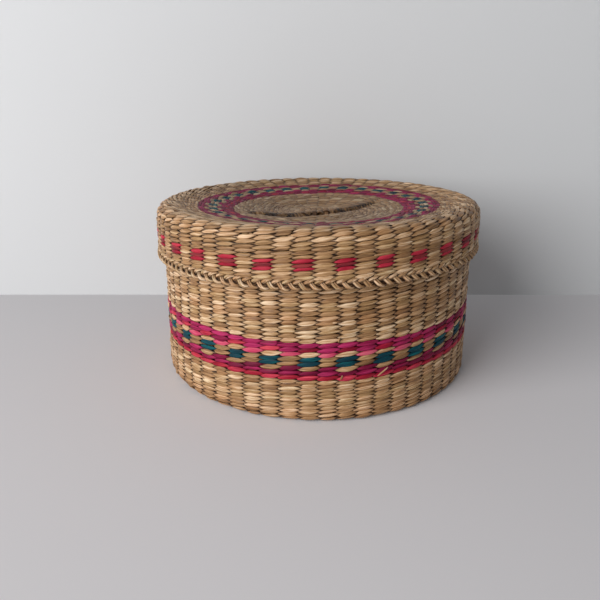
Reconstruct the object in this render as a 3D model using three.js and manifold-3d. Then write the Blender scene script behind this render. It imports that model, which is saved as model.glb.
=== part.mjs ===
import * as THREE from 'three';
import { mergeVertices } from 'three/addons/utils/BufferGeometryUtils.js';
import Module from 'manifold-3d';

// A round twined basket with a lift-off lid, in millimetres, standing on z = 0
// Upright stakes are held by pairs of weavers, one outside the stakes and one inside

// Weave
const strandDepth = 0.8;
const stakeDepth = 0.8;
const stakeWidth = 2.4;
const stakeShare = 0.7;
const weaveClearance = 0.25;
const rowGap = 0.3;
const checkBulge = 0.3;
const twistPinch = 0.3;
const twistGapShare = 0.22;
const hubOverlap = 0.6;

// Body
const footRadius = 86.4;
const wallLeanDegrees = 0.98;
const heelChamfer = 3.6;
const heelWeaveWidth = 6.7;
const bodyHubRadius = 24;
const bodyStakeCount = 58;
const bodyStakeAngle = -143.5;
const bandBottom = 22.1;
const lowerMagentaHeight = 7.2;
const tealCheckHeight = 4.9;
const upperMagentaHeight = 7.2;
const mouthBorderHeight = 4;

// Lid
const crestHeight = 93.1;
const lidDepth = 26.3;
const lidClearance = 0.6;
const lidRestClearance = 0.3;
const lidStakeCount = 60;
const lidStakeAngle = -155.3;
const shoulderWidth = 5.8;
const shoulderDrop = 2.9;
const dishDepth = 8.1;
const dishFloorRadius = 24;
const innerRingInnerRadius = 47.2;
const innerRingWidth = 6.8;
const lidCheckWidth = 9.2;
const outerRingWidth = 3.4;
const redCheckHeight = 5.5;
const lowerSkirtHeight = 4;
const rimBraidHeight = 4.6;
const rimBraidBulge = 1;

// Lean of the loose lid: of its rim, and of its top with the mouth that it rests on
const rimLeanDegrees = 2.07;
const rimHighSideAngle = -46.1;
const topLeanDegrees = 2.55;
const topHighSideAngle = -81;
const leanBlendHeight = 5;

// Values that follow from the sizes above
const wallDepth = 2 * strandDepth + 2 * weaveClearance + stakeDepth;
const stakeDepthStart = strandDepth + weaveClearance;
const wallLean = Math.tan(THREE.MathUtils.degToRad(wallLeanDegrees));
const rimHeight = crestHeight - lidDepth;
const skirtEnd = rimHeight + rimBraidHeight;
const redCheckBottom = skirtEnd + lowerSkirtHeight;
const redCheckTop = redCheckBottom + redCheckHeight;
const skirtRadius = bodyRadiusAt(rimHeight) + lidClearance + wallDepth;
const crestRadius = skirtRadius - shoulderWidth;

const wasm = await Module();
wasm.setup();

const materials = {
  straw: { color: 0xb89468, roughness: 0.62, metalness: 0 },
  stake: { color: 0x9c7a4c, roughness: 0.75, metalness: 0 },
  magenta: { color: 0xa02558, roughness: 0.55, metalness: 0 },
  teal: { color: 0x0f5a62, roughness: 0.55, metalness: 0 },
  red: { color: 0xb92f45, roughness: 0.55, metalness: 0 },
};

function bodyRadiusAt(height) {
  return footRadius - height * wallLean;
}

function dishHeightAt(radius) {
  const share = (radius - dishFloorRadius) / (crestRadius - dishFloorRadius);
  return crestHeight - dishDepth * (1 - share);
}

// The outer face as a line of named places from the axis outwards, with inward normals
function facePath(inwardTurn, places) {
  const names = places.map(([name]) => name);
  const points = places.map(([, radius, height]) => new THREE.Vector2(radius, height));
  const normals = points.slice(1).map((point, i) => {
    const along = point.clone().sub(points[i]).normalize();
    return new THREE.Vector2(-along.y, along.x).multiplyScalar(inwardTurn);
  });
  return { inwardTurn, points, normals, index: (name) => names.indexOf(name) };
}

// A place on the path moved into the wall, mitred where two stretches meet
function inset(path, index, depth) {
  const before = path.normals[Math.max(index - 1, 0)];
  const after = path.normals[Math.min(index, path.normals.length - 1)];
  const mitre = before.clone().add(after).divideScalar(1 + before.dot(after));
  return path.points[index].clone().addScaledVector(mitre, depth);
}

// The end of a band, half a row gap short of the place it is named after
function bandEnd(path, index, neighbour, depth) {
  const normal = path.normals[Math.min(index, neighbour)];
  const along = path.points[neighbour].clone().sub(path.points[index]).normalize();
  const start = path.points[index].clone().addScaledVector(along, rowGap / 2);
  return start.addScaledVector(normal, depth);
}

function bandEdge(path, from, to, depth) {
  const first = path.points[from].x === 0
    ? inset(path, from, depth)
    : bandEnd(path, from, from + 1, depth);
  const edge = [first];
  for (let i = from + 1; i < to; i += 1) {
    const straight = path.normals[i - 1].distanceTo(path.normals[i]) < 1e-6;
    if (!straight) edge.push(inset(path, i, depth));
  }
  edge.push(bandEnd(path, to, to - 1, depth));
  return edge;
}

// A closed mesh turned about the axis, with flat sides that face the stakes
function turned(outline, segments, startAngle) {
  const area = THREE.ShapeUtils.area(outline);
  const profile = area < 0 ? outline.slice().reverse() : outline.slice();
  const onAxis = profile.some((point) => point.x === 0);
  if (!onAxis) profile.push(profile[0].clone());
  while (onAxis && profile[0].x !== 0) profile.push(profile.shift());
  if (onAxis && profile[profile.length - 1].x !== 0) profile.push(profile.shift());
  const flatStart = THREE.MathUtils.degToRad(startAngle) + Math.PI / segments + Math.PI / 2;
  const geometry = new THREE.LatheGeometry(profile, segments, flatStart, 2 * Math.PI);
  geometry.rotateX(Math.PI / 2);
  return merged(geometry);
}

function merged(geometry) {
  geometry.deleteAttribute('normal');
  geometry.deleteAttribute('uv');
  return mergeVertices(geometry, 1e-4);
}

// One weaver of a plain band: it stays on its own side of every stake
function plainWeaver(weave, fromName, toName, inside) {
  const { path, stakeAngle, stakeCount } = weave;
  const outerDepth = inside ? wallDepth - strandDepth : 0;
  const from = path.index(fromName);
  const to = path.index(toName);
  const outerEdge = bandEdge(path, from, to, outerDepth);
  const innerEdge = bandEdge(path, from, to, outerDepth + strandDepth);
  return turned([...outerEdge, ...innerEdge.reverse()], stakeCount, stakeAngle);
}

// One weaver of a check: outside one stake and inside the next, twisted with its partner
function checkWeaver(weave, fromName, toName, phase) {
  const { path, stakeAngle, stakeCount } = weave;
  const from = path.index(fromName);
  const to = path.index(toName);
  const steps = 2 * stakeCount;
  const flat = Math.cos(Math.PI / stakeCount);
  return wovenRing(steps, path.inwardTurn, (step, across, along) => {
    const atStake = step % 2 === 0;
    const outside = (Math.floor(step / 2) + phase) % 2 === 0;
    const depthStart = outside ? -checkBulge : wallDepth - strandDepth + checkBulge;
    const depth = atStake
      ? depthStart + across * strandDepth
      : wallDepth / 2 + (across - 0.5) * twistPinch;
    const goingIn = outside ? 1 : 0;
    const upper = path.inwardTurn > 0 ? goingIn : 1 - goingIn;
    const halfStrand = (1 - twistGapShare) / 2;
    const crossing = upper * (1 - halfStrand) + along * halfStrand;
    const place = bandPlace(path, from, to, atStake ? along : crossing, depth);
    return { place, scale: atStake ? flat : 1, angle: stakeAngle + (step * 360) / steps };
  });
}

// One weaver of the narrow check on the lid: it keeps its own half of the band
function halfCheckWeaver(weave, fromName, toName, phase) {
  const { path, stakeAngle, stakeCount } = weave;
  const from = path.index(fromName);
  const to = path.index(toName);
  const halfStrand = (1 - twistGapShare) / 2;
  return wovenRing(stakeCount, path.inwardTurn, (step, across, along) => {
    const outside = (step + phase) % 2 === 0;
    const depthStart = outside ? -checkBulge : wallDepth - strandDepth + checkBulge;
    const share = phase * (1 - halfStrand) + along * halfStrand;
    const place = bandPlace(path, from, to, share, depthStart + across * strandDepth);
    return { place, scale: 1, angle: stakeAngle + (step * 360) / stakeCount };
  });
}

function bandPlace(path, from, to, share, depth) {
  const start = bandEnd(path, from, from + 1, depth);
  return start.lerp(bandEnd(path, to, to - 1, depth), share);
}

// A ring of square section whose every corner is then moved to its place in the weave
function wovenRing(steps, inwardTurn, placeAt) {
  const size = 10;
  const corners = [[0, 0], [1, 0], [1, 1], [0, 1]];
  const square = corners.map(([across, along]) => new THREE.Vector2(size - across, along));
  square.push(square[0].clone());
  square.reverse();
  const ring = merged(new THREE.LatheGeometry(square, steps, 0, 2 * Math.PI));
  const position = ring.getAttribute('position');
  const point = new THREE.Vector3();
  for (let i = 0; i < position.count; i += 1) {
    point.fromBufferAttribute(position, i);
    const turn = Math.atan2(point.x, point.z) / (2 * Math.PI);
    const step = (Math.round(turn * steps) + steps) % steps;
    const across = Math.round(size - Math.hypot(point.x, point.z));
    const { place, scale, angle } = placeAt(step, across, Math.round(point.y));
    const radians = THREE.MathUtils.degToRad(angle);
    const radius = place.x * scale;
    position.setXYZ(i, radius * Math.cos(radians), radius * Math.sin(radians), place.y);
  }
  if (inwardTurn < 0) flipFaces(ring);
  return ring;
}

function flipFaces(geometry) {
  const index = geometry.getIndex();
  for (let i = 0; i < index.count; i += 3) {
    const first = index.getX(i);
    index.setX(i, index.getX(i + 1));
    index.setX(i + 1, first);
  }
}

// All stakes of the body or the lid, meeting at a round start in the middle
function stakeCage(weave, hubRadius, placeNames, topGap) {
  const { path, stakeAngle, stakeCount } = weave;
  const middle = stakeDepthStart + stakeDepth / 2;
  const hub = new THREE.CylinderGeometry(hubRadius, hubRadius, stakeDepth, stakeCount);
  hub.rotateX(Math.PI / 2);
  hub.translate(0, 0, inset(path, 0, middle).y);
  let cage = solid(hub);
  for (let i = 0; i < stakeCount; i += 1) {
    const angle = THREE.MathUtils.degToRad(stakeAngle + (i * 360) / stakeCount);
    cage = cage.add(solid(stake(path, placeNames, stakeCount, angle, topGap)));
  }
  return geometryOf(cage);
}

// A single stake: a flat strip bent along the path, narrower where the stakes crowd together
function stake(path, placeNames, stakeCount, angle, topGap) {
  const flat = Math.cos(Math.PI / stakeCount);
  const strip = new THREE.BoxGeometry(1, placeNames.length - 1, 1, 1, placeNames.length - 1, 1);
  strip.translate(0, (placeNames.length - 1) / 2, 0);
  const position = strip.getAttribute('position');
  const last = placeNames.length - 1;
  for (let i = 0; i < position.count; i += 1) {
    const station = Math.round(position.getY(i));
    const depth = stakeDepthStart + (0.5 - position.getZ(i)) * stakeDepth;
    const place = inset(path, path.index(placeNames[station]), depth);
    if (station === last) place.y -= path.inwardTurn * topGap;
    const spacing = (2 * Math.PI * place.x) / stakeCount;
    const sideways = position.getX(i) * Math.min(stakeWidth, stakeShare * spacing);
    const turnedSideways = path.inwardTurn > 0 ? sideways : -sideways;
    const radius = place.x * flat;
    position.setXYZ(
      i,
      radius * Math.cos(angle) - turnedSideways * Math.sin(angle),
      radius * Math.sin(angle) + turnedSideways * Math.cos(angle),
      place.y,
    );
  }
  return strip;
}

function solid(geometry) {
  const welded = merged(geometry);
  return new wasm.Manifold(new wasm.Mesh({
    numProp: 3,
    vertProperties: new Float32Array(welded.getAttribute('position').array),
    triVerts: new Uint32Array(welded.getIndex().array),
  }));
}

function geometryOf(manifold) {
  const mesh = manifold.getMesh();
  const geometry = new THREE.BufferGeometry();
  geometry.setAttribute('position', new THREE.BufferAttribute(mesh.vertProperties, 3));
  geometry.setIndex(new THREE.BufferAttribute(mesh.triVerts, 1));
  return geometry;
}

function addPiece(group, name, materialName, geometry) {
  const material = new THREE.MeshStandardMaterial(materials[materialName]);
  const mesh = new THREE.Mesh(geometry, material);
  mesh.name = name;
  group.add(mesh);
}

// How far a leaning plane through the axis rises at a place
function planeRise(point, leanDegrees, highSideAngle) {
  const lean = Math.tan(THREE.MathUtils.degToRad(leanDegrees));
  const highSide = THREE.MathUtils.degToRad(highSideAngle);
  return lean * (point.x * Math.cos(highSide) + point.y * Math.sin(highSide));
}

// Moves every corner of a body's meshes up by the rise at its place
function leaned(group, riseAt) {
  const point = new THREE.Vector3();
  for (const { geometry } of group.children) {
    const position = geometry.getAttribute('position');
    for (let i = 0; i < position.count; i += 1) {
      point.fromBufferAttribute(position, i);
      position.setZ(i, point.z + riseAt(point));
    }
    geometry.computeVertexNormals();
  }
  return group;
}

// Both weavers of a plain band, the outside one and the inside one
function addPlainBand(group, weave, name, materialName, fromName, toName) {
  const outside = plainWeaver(weave, fromName, toName, false);
  const inside = plainWeaver(weave, fromName, toName, true);
  addPiece(group, `${name}_weaver_outside`, materialName, outside);
  addPiece(group, `${name}_weaver_inside`, materialName, inside);
}

// Lid face from the middle of the dish, over the shoulder and down the skirt
const ringEdges = {
  innerRingStart: innerRingInnerRadius,
  innerRingEnd: innerRingInnerRadius + innerRingWidth,
  checkEnd: innerRingInnerRadius + innerRingWidth + lidCheckWidth,
  outerRingEnd: innerRingInnerRadius + innerRingWidth + lidCheckWidth + outerRingWidth,
};
const lidPath = facePath(-1, [
  ['centre', 0, dishHeightAt(dishFloorRadius)],
  ['dishFloor', dishFloorRadius, dishHeightAt(dishFloorRadius)],
  ...Object.entries(ringEdges).map(([name, radius]) => [name, radius, dishHeightAt(radius)]),
  ['crest', crestRadius, crestHeight],
  ['shoulder', skirtRadius, crestHeight - shoulderDrop],
  ['redCheckTop', skirtRadius, redCheckTop],
  ['redCheckBottom', skirtRadius, redCheckBottom],
  ['skirtEnd', skirtRadius, skirtEnd],
]);

// The rounded top of the mouth follows the underside of the lid that rests on it
const lidUnderside = ['crest', 'shoulder'].map((name) => (
  inset(lidPath, lidPath.index(name), wallDepth + lidRestClearance)
));
const mouthHeight = lidUnderside[0].y;
const mouthRadius = bodyRadiusAt(mouthHeight);
const underLidSlope = (lidUnderside[1].y - lidUnderside[0].y)
  / (lidUnderside[1].x - lidUnderside[0].x);
const mouthOuterHeight = mouthHeight + (mouthRadius - lidUnderside[0].x) * underLidSlope;
const mouthBorderBottom = mouthHeight - mouthBorderHeight;

// Body face from the middle of the base, round the heel and up the wall
const tealCheckBottom = bandBottom + lowerMagentaHeight;
const tealCheckTop = tealCheckBottom + tealCheckHeight;
const bandTop = tealCheckTop + upperMagentaHeight;
const heelStartRadius = bodyRadiusAt(heelChamfer) - heelChamfer;
const bodyPath = facePath(1, [
  ['centre', 0, 0],
  ['hubEdge', bodyHubRadius, 0],
  ['baseEdge', heelStartRadius - heelWeaveWidth, 0],
  ['heelStart', heelStartRadius, 0],
  ['heelEnd', bodyRadiusAt(heelChamfer), heelChamfer],
  ['bandBottom', bodyRadiusAt(bandBottom), bandBottom],
  ['tealCheckBottom', bodyRadiusAt(tealCheckBottom), tealCheckBottom],
  ['tealCheckTop', bodyRadiusAt(tealCheckTop), tealCheckTop],
  ['bandTop', bodyRadiusAt(bandTop), bandTop],
  ['wallEnd', bodyRadiusAt(mouthBorderBottom), mouthBorderBottom],
]);

const bodyWeave = { path: bodyPath, stakeAngle: bodyStakeAngle, stakeCount: bodyStakeCount };
const lidWeave = { path: lidPath, stakeAngle: lidStakeAngle, stakeCount: lidStakeCount };

function buildBody() {
  const body = new THREE.Group();
  const stakePlaces = ['hubEdge', 'heelStart', 'heelEnd', 'wallEnd'];
  const cage = stakeCage(bodyWeave, bodyHubRadius + hubOverlap, stakePlaces, rowGap / 2);
  addPiece(body, 'body_stakes', 'stake', cage);
  const plainBands = [
    ['base', 'straw', 'centre', 'baseEdge'],
    ['lower_wall', 'straw', 'baseEdge', 'bandBottom'],
    ['lower_magenta', 'magenta', 'bandBottom', 'tealCheckBottom'],
    ['upper_magenta', 'magenta', 'tealCheckTop', 'bandTop'],
    ['upper_wall', 'straw', 'bandTop', 'wallEnd'],
  ];
  for (const [name, materialName, fromName, toName] of plainBands) {
    addPlainBand(body, bodyWeave, name, materialName, fromName, toName);
  }
  const teal = checkWeaver(bodyWeave, 'tealCheckBottom', 'tealCheckTop', 0);
  const partner = checkWeaver(bodyWeave, 'tealCheckBottom', 'tealCheckTop', 1);
  addPiece(body, 'body_check_teal_weaver', 'teal', teal);
  addPiece(body, 'body_check_straw_weaver', 'straw', partner);
  addPiece(body, 'mouth_border', 'straw', mouthBorder());
  return body;
}

// The plaited edge of the mouth, sitting on the last rows of the wall
function mouthBorder() {
  const bottom = mouthBorderBottom + rowGap / 2;
  const innerRadius = mouthRadius - wallDepth;
  const outline = [
    new THREE.Vector2(innerRadius, bottom),
    new THREE.Vector2(bodyRadiusAt(bottom), bottom),
    new THREE.Vector2(mouthRadius, mouthOuterHeight),
    new THREE.Vector2(lidUnderside[0].x, mouthHeight),
    new THREE.Vector2(innerRadius, mouthHeight),
  ];
  return turned(outline, bodyStakeCount, bodyStakeAngle);
}

function buildLid() {
  const lid = new THREE.Group();
  const stakePlaces = ['dishFloor', 'crest', 'shoulder', 'skirtEnd'];
  const cage = stakeCage(lidWeave, dishFloorRadius + hubOverlap, stakePlaces, rowGap / 2);
  addPiece(lid, 'lid_stakes', 'stake', cage);
  const plainBands = [
    ['lid_center', 'straw', 'centre', 'innerRingStart'],
    ['lid_inner_ring', 'magenta', 'innerRingStart', 'innerRingEnd'],
    ['lid_outer_ring', 'magenta', 'checkEnd', 'outerRingEnd'],
    ['lid_shoulder', 'straw', 'outerRingEnd', 'redCheckTop'],
    ['lid_lower_skirt', 'straw', 'redCheckBottom', 'skirtEnd'],
  ];
  for (const [name, materialName, fromName, toName] of plainBands) {
    addPlainBand(lid, lidWeave, name, materialName, fromName, toName);
  }
  const tealHalf = halfCheckWeaver(lidWeave, 'innerRingEnd', 'checkEnd', 0);
  const strawHalf = halfCheckWeaver(lidWeave, 'innerRingEnd', 'checkEnd', 1);
  addPiece(lid, 'lid_check_teal_weaver', 'teal', tealHalf);
  addPiece(lid, 'lid_check_straw_weaver', 'straw', strawHalf);
  const red = checkWeaver(lidWeave, 'redCheckTop', 'redCheckBottom', 0);
  const partner = checkWeaver(lidWeave, 'redCheckTop', 'redCheckBottom', 1);
  addPiece(lid, 'skirt_check_red_weaver', 'red', red);
  addPiece(lid, 'skirt_check_straw_weaver', 'straw', partner);
  addPiece(lid, 'lid_rim_braid', 'straw', rimBraid());
  return lid;
}

// The plaited edge of the lid, a little fuller than the skirt above it
function rimBraid() {
  const top = skirtEnd - rowGap / 2;
  const middle = (top + rimHeight) / 2;
  const innerRadius = skirtRadius - wallDepth;
  const outline = [
    new THREE.Vector2(innerRadius, top),
    new THREE.Vector2(innerRadius, rimHeight),
    new THREE.Vector2(skirtRadius, rimHeight),
    new THREE.Vector2(skirtRadius + rimBraidBulge, middle),
    new THREE.Vector2(skirtRadius, top),
  ];
  return turned(outline, lidStakeCount, lidStakeAngle);
}

// The wall of the body leans more and more from its coloured band up to the mouth
function bodyRise(point) {
  const share = (point.z - bandTop) / (mouthBorderBottom - bandTop);
  return THREE.MathUtils.clamp(share, 0, 1) * planeRise(point, topLeanDegrees, topHighSideAngle);
}

// The skirt of the lid leans with its rim up to the red checks, and above them with the top
function lidRise(point) {
  const onSkirt = Math.hypot(point.x, point.y) > crestRadius;
  const skirtShare = THREE.MathUtils.clamp((point.z - redCheckTop) / leanBlendHeight, 0, 1);
  const share = onSkirt ? skirtShare : 1;
  const rimRise = planeRise(point, rimLeanDegrees, rimHighSideAngle);
  const topRise = planeRise(point, topLeanDegrees, topHighSideAngle);
  return THREE.MathUtils.lerp(rimRise, topRise, share);
}

const basket = new THREE.Group();
basket.add(leaned(buildBody(), bodyRise), leaned(buildLid(), lidRise));
export default basket;
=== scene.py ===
import math

import bmesh
import bpy
import numpy as np
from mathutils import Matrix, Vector


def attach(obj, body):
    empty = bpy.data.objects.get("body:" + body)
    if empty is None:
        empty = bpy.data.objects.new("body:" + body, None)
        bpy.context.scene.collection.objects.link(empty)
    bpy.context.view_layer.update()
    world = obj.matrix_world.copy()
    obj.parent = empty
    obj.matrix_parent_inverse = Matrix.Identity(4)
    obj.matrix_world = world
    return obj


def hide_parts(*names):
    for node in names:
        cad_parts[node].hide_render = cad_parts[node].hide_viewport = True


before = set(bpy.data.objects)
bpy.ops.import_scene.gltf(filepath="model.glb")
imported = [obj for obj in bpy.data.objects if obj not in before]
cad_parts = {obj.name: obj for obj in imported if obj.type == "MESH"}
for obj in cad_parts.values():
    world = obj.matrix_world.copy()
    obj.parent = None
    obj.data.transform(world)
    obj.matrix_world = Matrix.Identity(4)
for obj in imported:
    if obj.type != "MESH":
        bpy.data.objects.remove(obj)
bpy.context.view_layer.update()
print("frame loaded with", len(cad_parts), "CAD nodes")

# Lengths are in millimetres and angles in degrees, unless a note says otherwise. Meshes are in metres
toMetres = 0.001

# How every twined row is made
weave = {
    "wallDepth": 2.9,         # outside strand, stake and inside strand together
    "strandThickness": 0.95,
    "strandFill": 1.2,        # width of a strand over a stake, in rows
    "usualRow": 2.1,
    "evenWidth": 0.3,         # share of a strand's width that doesn't follow the height of its row
    "pinch": 0.38,            # width left at a strand's tip
    "tipPast": 0.36,          # how far past a crossing the tip lies, 0 to 1
    "taper": 1.1,             # how late a strand narrows towards its tip
    "strandReach": 0.83,      # how far a strand stands off the middle of the wall
    "dive": 1.0,              # how suddenly a strand dives between two stakes
    "crossingOut": 0.62,      # how far outside the middle of the wall the strands cross
    "slant": 0.23,            # how far a strand climbs at a crossing, in rows
    "stepsPerStake": 8,
    "sides": 8,               # of a strand's cross-section
    "bunching": 0.5,          # how much closer the steps lie at a crossing
    "rowJitter": 0.05,        # how unevenly the rows are spaced
    "widthJitter": 0.1,
    "reachJitter": 0.1,
    "heightJitter": 0.12,
    "rollJitter": 10,
    "heldAtCrossing": 0.7,    # how far round a crossing the weave keeps a strand from wandering
    "crossingJitter": 0.07,   # how unevenly the crossings lie, in stake spacings
    "toneJitter": 0.075,      # how much lighter or darker each stretch of a strand is
    "toneRun": (14, 60),      # fewest and most stakes over which a strand keeps its tone
    "hueRun": (20, 90),       # and its hue
    "dustAndShadeSlope": (0.6, 1),    # how level the weave has to be for dust and painted top shade to lie on it, 1 is level
}

# How the rows wander up and down: how far, and waves as (times round, rate, start, share)
rowWander = {
    "far": 0.3, "leastShare": 0.15, "fullRadius": 60,
    "waves": [(3, 0.05, 1.3, 0.5), (7, -0.11, 0, 0.3), (13, 0.19, 2.1, 0.2)],
}

# How each column of stitches wanders sideways: how far, and waves as (rate, turns of the start, share)
columnWander = {"far": 0.5, "leastRadius": 8, "seed": 3, "waves": [(0.09, 1, 1), (0.21, 2, 0.6)]}

# The loose lid leans: its rim one way, and its top with the mouth that it rests on another way
lean = {
    "rimDegrees": 2.07, "rimHighSide": -46.1, "topDegrees": 2.55, "topHighSide": -81,
    "skirtFrom": 79, "skirtTo": 91, "wallFrom": 41.4, "wallTo": 85.8,
}


def smoothStep(low, high, value):
    share = np.clip((value - low) / (high - low), 0, 1)
    return share * share * (3 - 2 * share)


def insetCorners(corners, depth, outwardTurn):
    # moves a line of corners into the wall by depth, mitred at each corner
    corners = np.array(corners, float)
    along = np.diff(corners, axis=0)
    along /= np.hypot(along[:, 0], along[:, 1])[:, None]
    normals = outwardTurn * np.stack([along[:, 1], -along[:, 0]], 1)
    before = np.vstack([normals[:1], normals])
    after = np.vstack([normals, normals[-1:]])
    mitre = (before + after) / (1 + (before * after).sum(1))[:, None]
    return corners - depth * mitre


def makePath(corners, outwardTurn, rounding):
    # walks the corners in small even steps, then averages neighbours, which rounds the corners
    step = 0.25
    legs = np.hypot(*np.diff(corners, axis=0).T)
    walked = np.concatenate([[0], np.cumsum(legs)])
    places = np.arange(0, walked[-1] + step / 2, step)
    r = np.interp(places, walked, corners[:, 0])
    z = np.interp(places, walked, corners[:, 1])
    half = int(rounding / step / 2)
    box = np.ones(2 * half + 1) / (2 * half + 1)
    for passes in range(2):
        rEnd = 2 * r[-1] - r[-2:-half - 2:-1]
        zEnd = 2 * z[-1] - z[-2:-half - 2:-1]
        r = np.convolve(np.concatenate([-r[half:0:-1], r, rEnd]), box, "valid")
        z = np.convolve(np.concatenate([z[half:0:-1], z, zEnd]), box, "valid")
    dr, dz = np.gradient(r), np.gradient(z)
    length = np.hypot(dr, dz)
    return {
        "s": np.concatenate([[0], np.cumsum(np.hypot(np.diff(r), np.diff(z)))]),
        "r": r, "z": z,
        "nr": outwardTurn * dz / length, "nz": -outwardTurn * dr / length,
        "turn": outwardTurn,
    }


def placeOn(path, radius=None, height=None):
    # distance along the path to a radius on its flat part or to a height on its wall
    if radius is not None:
        widest = np.argmax(path["r"])
        return float(np.interp(radius, path["r"][:widest], path["s"][:widest]))
    nearWidest = 0.97
    wall = path["r"] > nearWidest * path["r"].max()
    heights, places = path["z"][wall], path["s"][wall]
    order = np.argsort(heights)
    return float(np.interp(height, heights[order], places[order]))


# The outer shapes of the body and of the lid, before they lean
bodyShape = {
    "footRadius": 86.4, "wallLean": 0.98, "heelChamfer": 1.0, "mouthHeight": 89.8, "rounding": 2.4,
    "baseLift": 0.1, "baseHollow": 0.5, "hollowRadii": (40, 84),
}
lidShape = {
    "dishFloor": 24, "dishHeight": 85, "crestRadius": 82.96, "crestHeight": 93.1,
    "skirtRadius": 88.76, "shoulderHeight": 90.2, "rimHeight": 66.8, "rounding": 6,
}


def bodyPathOf(shape):
    slope = math.tan(math.radians(shape["wallLean"]))
    heelRadius = shape["footRadius"] - shape["heelChamfer"] * slope
    corners = [
        (0, 0),
        (heelRadius - shape["heelChamfer"], 0),
        (heelRadius, shape["heelChamfer"]),
        (shape["footRadius"] - shape["mouthHeight"] * slope, shape["mouthHeight"]),
    ]
    path = makePath(insetCorners(corners, weave["wallDepth"] / 2, 1), 1, shape["rounding"])
    # the middle of the base is a little hollow, so that the basket stands on its heel
    hollow = 1 - smoothStep(*shape["hollowRadii"], path["r"])
    path["z"] = path["z"] + shape["baseHollow"] * hollow + shape["baseLift"]
    return path


def lidPathOf(shape):
    corners = [
        (0, shape["dishHeight"]),
        (shape["dishFloor"], shape["dishHeight"]),
        (shape["crestRadius"], shape["crestHeight"]),
        (shape["skirtRadius"], shape["shoulderHeight"]),
        (shape["skirtRadius"], shape["rimHeight"]),
    ]
    return makePath(insetCorners(corners, weave["wallDepth"] / 2, -1), -1, shape["rounding"])


bodyPath = bodyPathOf(bodyShape)
lidPath = lidPathOf(lidShape)

# A crease runs across the middle of the lid, with painted shade darkening the fold behind it
dent = {
    "crease": [
        (-42, -12), (-33, -18), (-24, -19), (-15, -17.5), (1, -12), (19, 1), (31, 11.5), (38, 20), (44, 28),
    ],
    "leftEnd": (-41, -30), "rightEnd": (18, 44), "reach": (41, 50),   # where it fades out, reach all round
    "lip": 0.6, "lipPlace": 6, "lipWidth": 9,                         # a low rise before the crease
    "drop": 2.2, "nearEdge": (-1.6, 1.0), "farEdge": (3.0, 7.0),      # the fold
    "swell": 1.1, "fade": 13,                                         # the swelling behind it
    "shade": 0.8, "paintedShadeFrom": (-6.0, 3.0), "paintedShadeTo": (2.5, 18.0),   # the painted shade in the fold
    "coverLoss": 0.5, "toneLoss": 1.1,                                # what the painted shade takes off a strand
}


def behindCrease(x, y):
    # how far a place lies behind the crease, and how much the crease counts there
    creaseX, creaseY = np.array(dent["crease"], float).T
    ends = smoothStep(*dent["leftEnd"], x) * (1 - smoothStep(*dent["rightEnd"], x))
    inside = 1 - smoothStep(*dent["reach"], np.hypot(x, y))
    return y - np.interp(x, creaseX, creaseY), ends * inside


def dentAt(x, y):
    behind, share = behindCrease(x, y)
    lip = np.exp(-((behind + dent["lipPlace"]) / dent["lipWidth"]) ** 2)
    far = smoothStep(*dent["farEdge"], behind)
    fold = smoothStep(*dent["nearEdge"], behind) * (1 - far)
    swelling = far * np.exp(-np.maximum(behind - dent["farEdge"][1], 0) / dent["fade"])
    return (dent["lip"] * lip - dent["drop"] * fold + dent["swell"] * swelling) * share


def paintedFoldShade(points, part):
    # the fold's painted shade: 0 on the body and on the open lid, and most down in the fold
    if part != "lid":
        return np.zeros(len(points))
    behind, share = behindCrease(points[:, 0], points[:, 1])
    dark = smoothStep(*dent["paintedShadeFrom"], behind) * (1 - smoothStep(*dent["paintedShadeTo"], behind))
    return dent["shade"] * dark * share


def pointsAt(radius, theta, height):
    # places from radii, angles and heights, any of which may be one number for all
    return np.stack(np.broadcast_arrays(radius * np.cos(theta), radius * np.sin(theta), height), 1)


def planeRise(x, y, degrees, highSide):
    turn = math.radians(highSide)
    return math.tan(math.radians(degrees)) * (x * math.cos(turn) + y * math.sin(turn))


def settle(points, part):
    # the lean of the lid and of the mouth, and the dent in the lid
    x, y, z = points.T
    top = planeRise(x, y, lean["topDegrees"], lean["topHighSide"])
    if part == "lid":
        rim = planeRise(x, y, lean["rimDegrees"], lean["rimHighSide"])
        skirt = smoothStep(lean["skirtFrom"], lean["skirtTo"], z)
        share = np.where(np.hypot(x, y) > lidShape["crestRadius"], skirt, 1)
        points[:, 2] = z + rim + (top - rim) * share + dentAt(x, y)
    else:
        share = np.clip((z - lean["wallFrom"]) / (lean["wallTo"] - lean["wallFrom"]), 0, 1)
        points[:, 2] = z + top * share
    return points


# The cross-section of a split blade of grass, through it and across it: 1 is round and 0 is square
roundness = {"through": 0.75, "across": 0.7}


def flatOutline(sides):
    # the corners of the cross-section, clockwise
    turns = -2 * np.pi * (np.arange(sides) + 0.5) / sides
    outwards, across = np.cos(turns), np.sin(turns)
    return np.stack([
        np.sign(outwards) * np.abs(outwards) ** roundness["through"],
        np.sign(across) * np.abs(across) ** roundness["across"],
    ], 1)


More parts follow.
